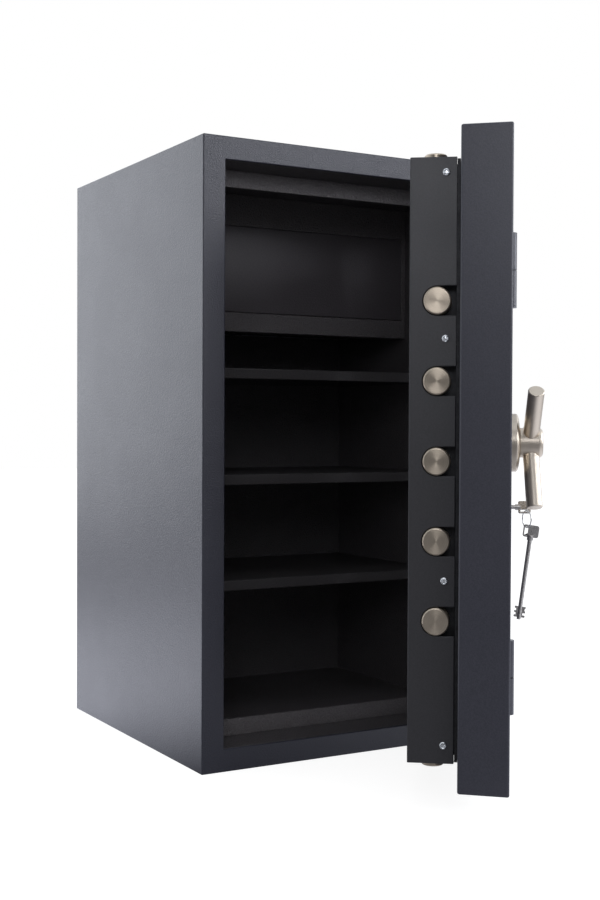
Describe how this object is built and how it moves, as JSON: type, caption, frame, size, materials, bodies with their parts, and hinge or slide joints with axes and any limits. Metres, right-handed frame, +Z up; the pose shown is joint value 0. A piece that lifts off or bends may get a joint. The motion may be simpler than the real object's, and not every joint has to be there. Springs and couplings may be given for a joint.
{
  "type": "drop safe with deposit drawer",
  "caption": "Free-standing drop safe in dark painted steel with an open inset door, spoked bolt handle, locking bolts, shelves and a deposit drawer in the back wall",
  "frame": {"origin": "Centre of the flat underside of the cabinet", "axes": "+Z up; -Y is the door side of the cabinet, +Y the back with the deposit drawer; +X to the right seen from the door side, where the hinges are"},
  "size_m": [0.546, 0.9425, 0.9],
  "materials": {
    "anthracite": "satin",
    "inner_paint": "satin",
    "filling": "matte",
    "satin_steel": "satin",
    "zinc": "satin",
    "plain_steel": "brushed",
    "dark_steel": "satin"
  },
  "bodies": {
    "cabinet": {"outer_casing": "anthracite", "barrier_filling": "filling", "inner_liner": "inner_paint", "locking_lip": "inner_paint", "shelf_1": "inner_paint", "shelf_2": "inner_paint", "shelf_3": "inner_paint", "deposit_housing": "inner_paint", "deposit_panel": "inner_paint", "deposit_chute": "zinc", "fishing_baffle": "zinc", "drawer_sleeve": "anthracite", "drawer_runner_left": "zinc", "drawer_runner_right": "zinc", "lower_hinge_frame_knuckle": "anthracite", "upper_hinge_frame_knuckle": "anthracite", "lower_hinge_pin": "dark_steel", "upper_hinge_pin": "dark_steel"},
    "door": {"lower_hinge_door_knuckle": "anthracite", "upper_hinge_door_knuckle": "anthracite", "door_pan": "anthracite", "door_filling": "filling", "door_back_plate": "anthracite", "boltwork_plate": "dark_steel", "bolt_cover": "anthracite", "cover_screw_1": "zinc", "cover_screw_2": "zinc", "cover_screw_3": "zinc", "cover_screw_4": "zinc", "handle_rose": "satin_steel", "key_escutcheon": "zinc", "lock_case": "plain_steel"},
    "carriage": {"bolt_carriage": "plain_steel", "lock_lug": "plain_steel", "side_bolt_1": "satin_steel", "side_bolt_2": "satin_steel", "side_bolt_3": "satin_steel", "side_bolt_4": "satin_steel", "side_bolt_5": "satin_steel"},
    "upper_bolt": {"top_bolt": "satin_steel", "top_bolt_rod": "plain_steel"},
    "lower_bolt": {"bottom_bolt": "satin_steel", "bottom_bolt_rod": "plain_steel"},
    "handle": {"handle_spindle": "plain_steel", "handle_hub": "satin_steel", "handle_spoke_1": "satin_steel", "handle_spoke_2": "satin_steel", "handle_spoke_3": "satin_steel", "crank_disc": "plain_steel"},
    "key": {"door_key": "zinc"},
    "ring": {"key_ring": "zinc"},
    "second_key": {"spare_key": "zinc"},
    "lock_slide": {"lock_bolt": "plain_steel"},
    "drawer": {"drawer_tray": "zinc", "drawer_face": "anthracite", "drawer_pull": "satin_steel", "drawer_lock_body": "zinc"},
    "trap": {"trap_floor": "zinc"},
    "cam": {"drawer_lock_plug": "zinc"}
  },
  "joints": [
    {"name": "door_hinge", "type": "hinge", "parent": "cabinet", "child": "door", "pos_m": [0.2625, -0.2615, 0.45], "axis": [0, 0, 1], "range_deg": [-52.8, 127.2]},
    {"name": "carriage_slide", "type": "slide", "parent": "door", "child": "carriage", "axis": [-0.6046, -0.7965, 0], "range_m": [0, 0.025]},
    {"name": "handle_turn", "type": "hinge", "parent": "door", "child": "handle", "pos_m": [0.10493, -0.4997, 0.47], "axis": [-0.7965, 0.6046, 0], "range_deg": [0, 50]},
    {"name": "upper_bolt_slide", "type": "slide", "parent": "door", "child": "upper_bolt", "axis": [0, 0, 1], "range_m": [0, 0.025]},
    {"name": "lower_bolt_slide", "type": "slide", "parent": "door", "child": "lower_bolt", "axis": [0, 0, -1], "range_m": [0, 0.025]},
    {"name": "lock_bolt_slide", "type": "slide", "parent": "door", "child": "lock_slide", "axis": [0, 0, 1], "range_m": [-0.0035, 0.007]},
    {"name": "key_turn", "type": "hinge", "parent": "door", "child": "key", "pos_m": [0.10731, -0.50151, 0.381], "axis": [-0.7965, 0.6046, 0], "range_deg": [-45, 22.5]},
    {"name": "ring_swing", "type": "hinge", "parent": "key", "child": "ring", "pos_m": [0.09892, -0.5038, 0.37682], "axis": [-0.1599, -0.9871, 0], "range_deg": [0, 12]},
    {"name": "spare_key_swing", "type": "hinge", "parent": "ring", "child": "second_key", "pos_m": [0.09892, -0.5038, 0.35362], "axis": [-0.6046, -0.7965, 0], "range_deg": [0, 20]},
    {"name": "drawer_slide", "type": "slide", "parent": "cabinet", "child": "drawer", "axis": [0, 1, 0], "range_m": [0, 0.15]},
    {"name": "trap_swing", "type": "hinge", "parent": "drawer", "child": "trap", "pos_m": [0, 0.208, 0.737], "axis": [-1, 0, 0], "range_deg": [0, 25]},
    {"name": "drawer_lock_turn", "type": "hinge", "parent": "drawer", "child": "cam", "pos_m": [0, 0.245, 0.787], "axis": [0, -1, 0], "range_deg": [0, 90]}
  ],
  "couplings": [
    {"joint": "handle_turn", "follows": "carriage_slide", "rad_per_m": 34.907},
    {"joint": "upper_bolt_slide", "follows": "carriage_slide", "ratio": 1},
    {"joint": "lower_bolt_slide", "follows": "carriage_slide", "ratio": 1},
    {"joint": "key_turn", "follows": "lock_bolt_slide", "rad_per_m": -112.2},
    {"joint": "trap_swing", "follows": "drawer_slide", "rad_per_m": 2.9089}
  ]
}
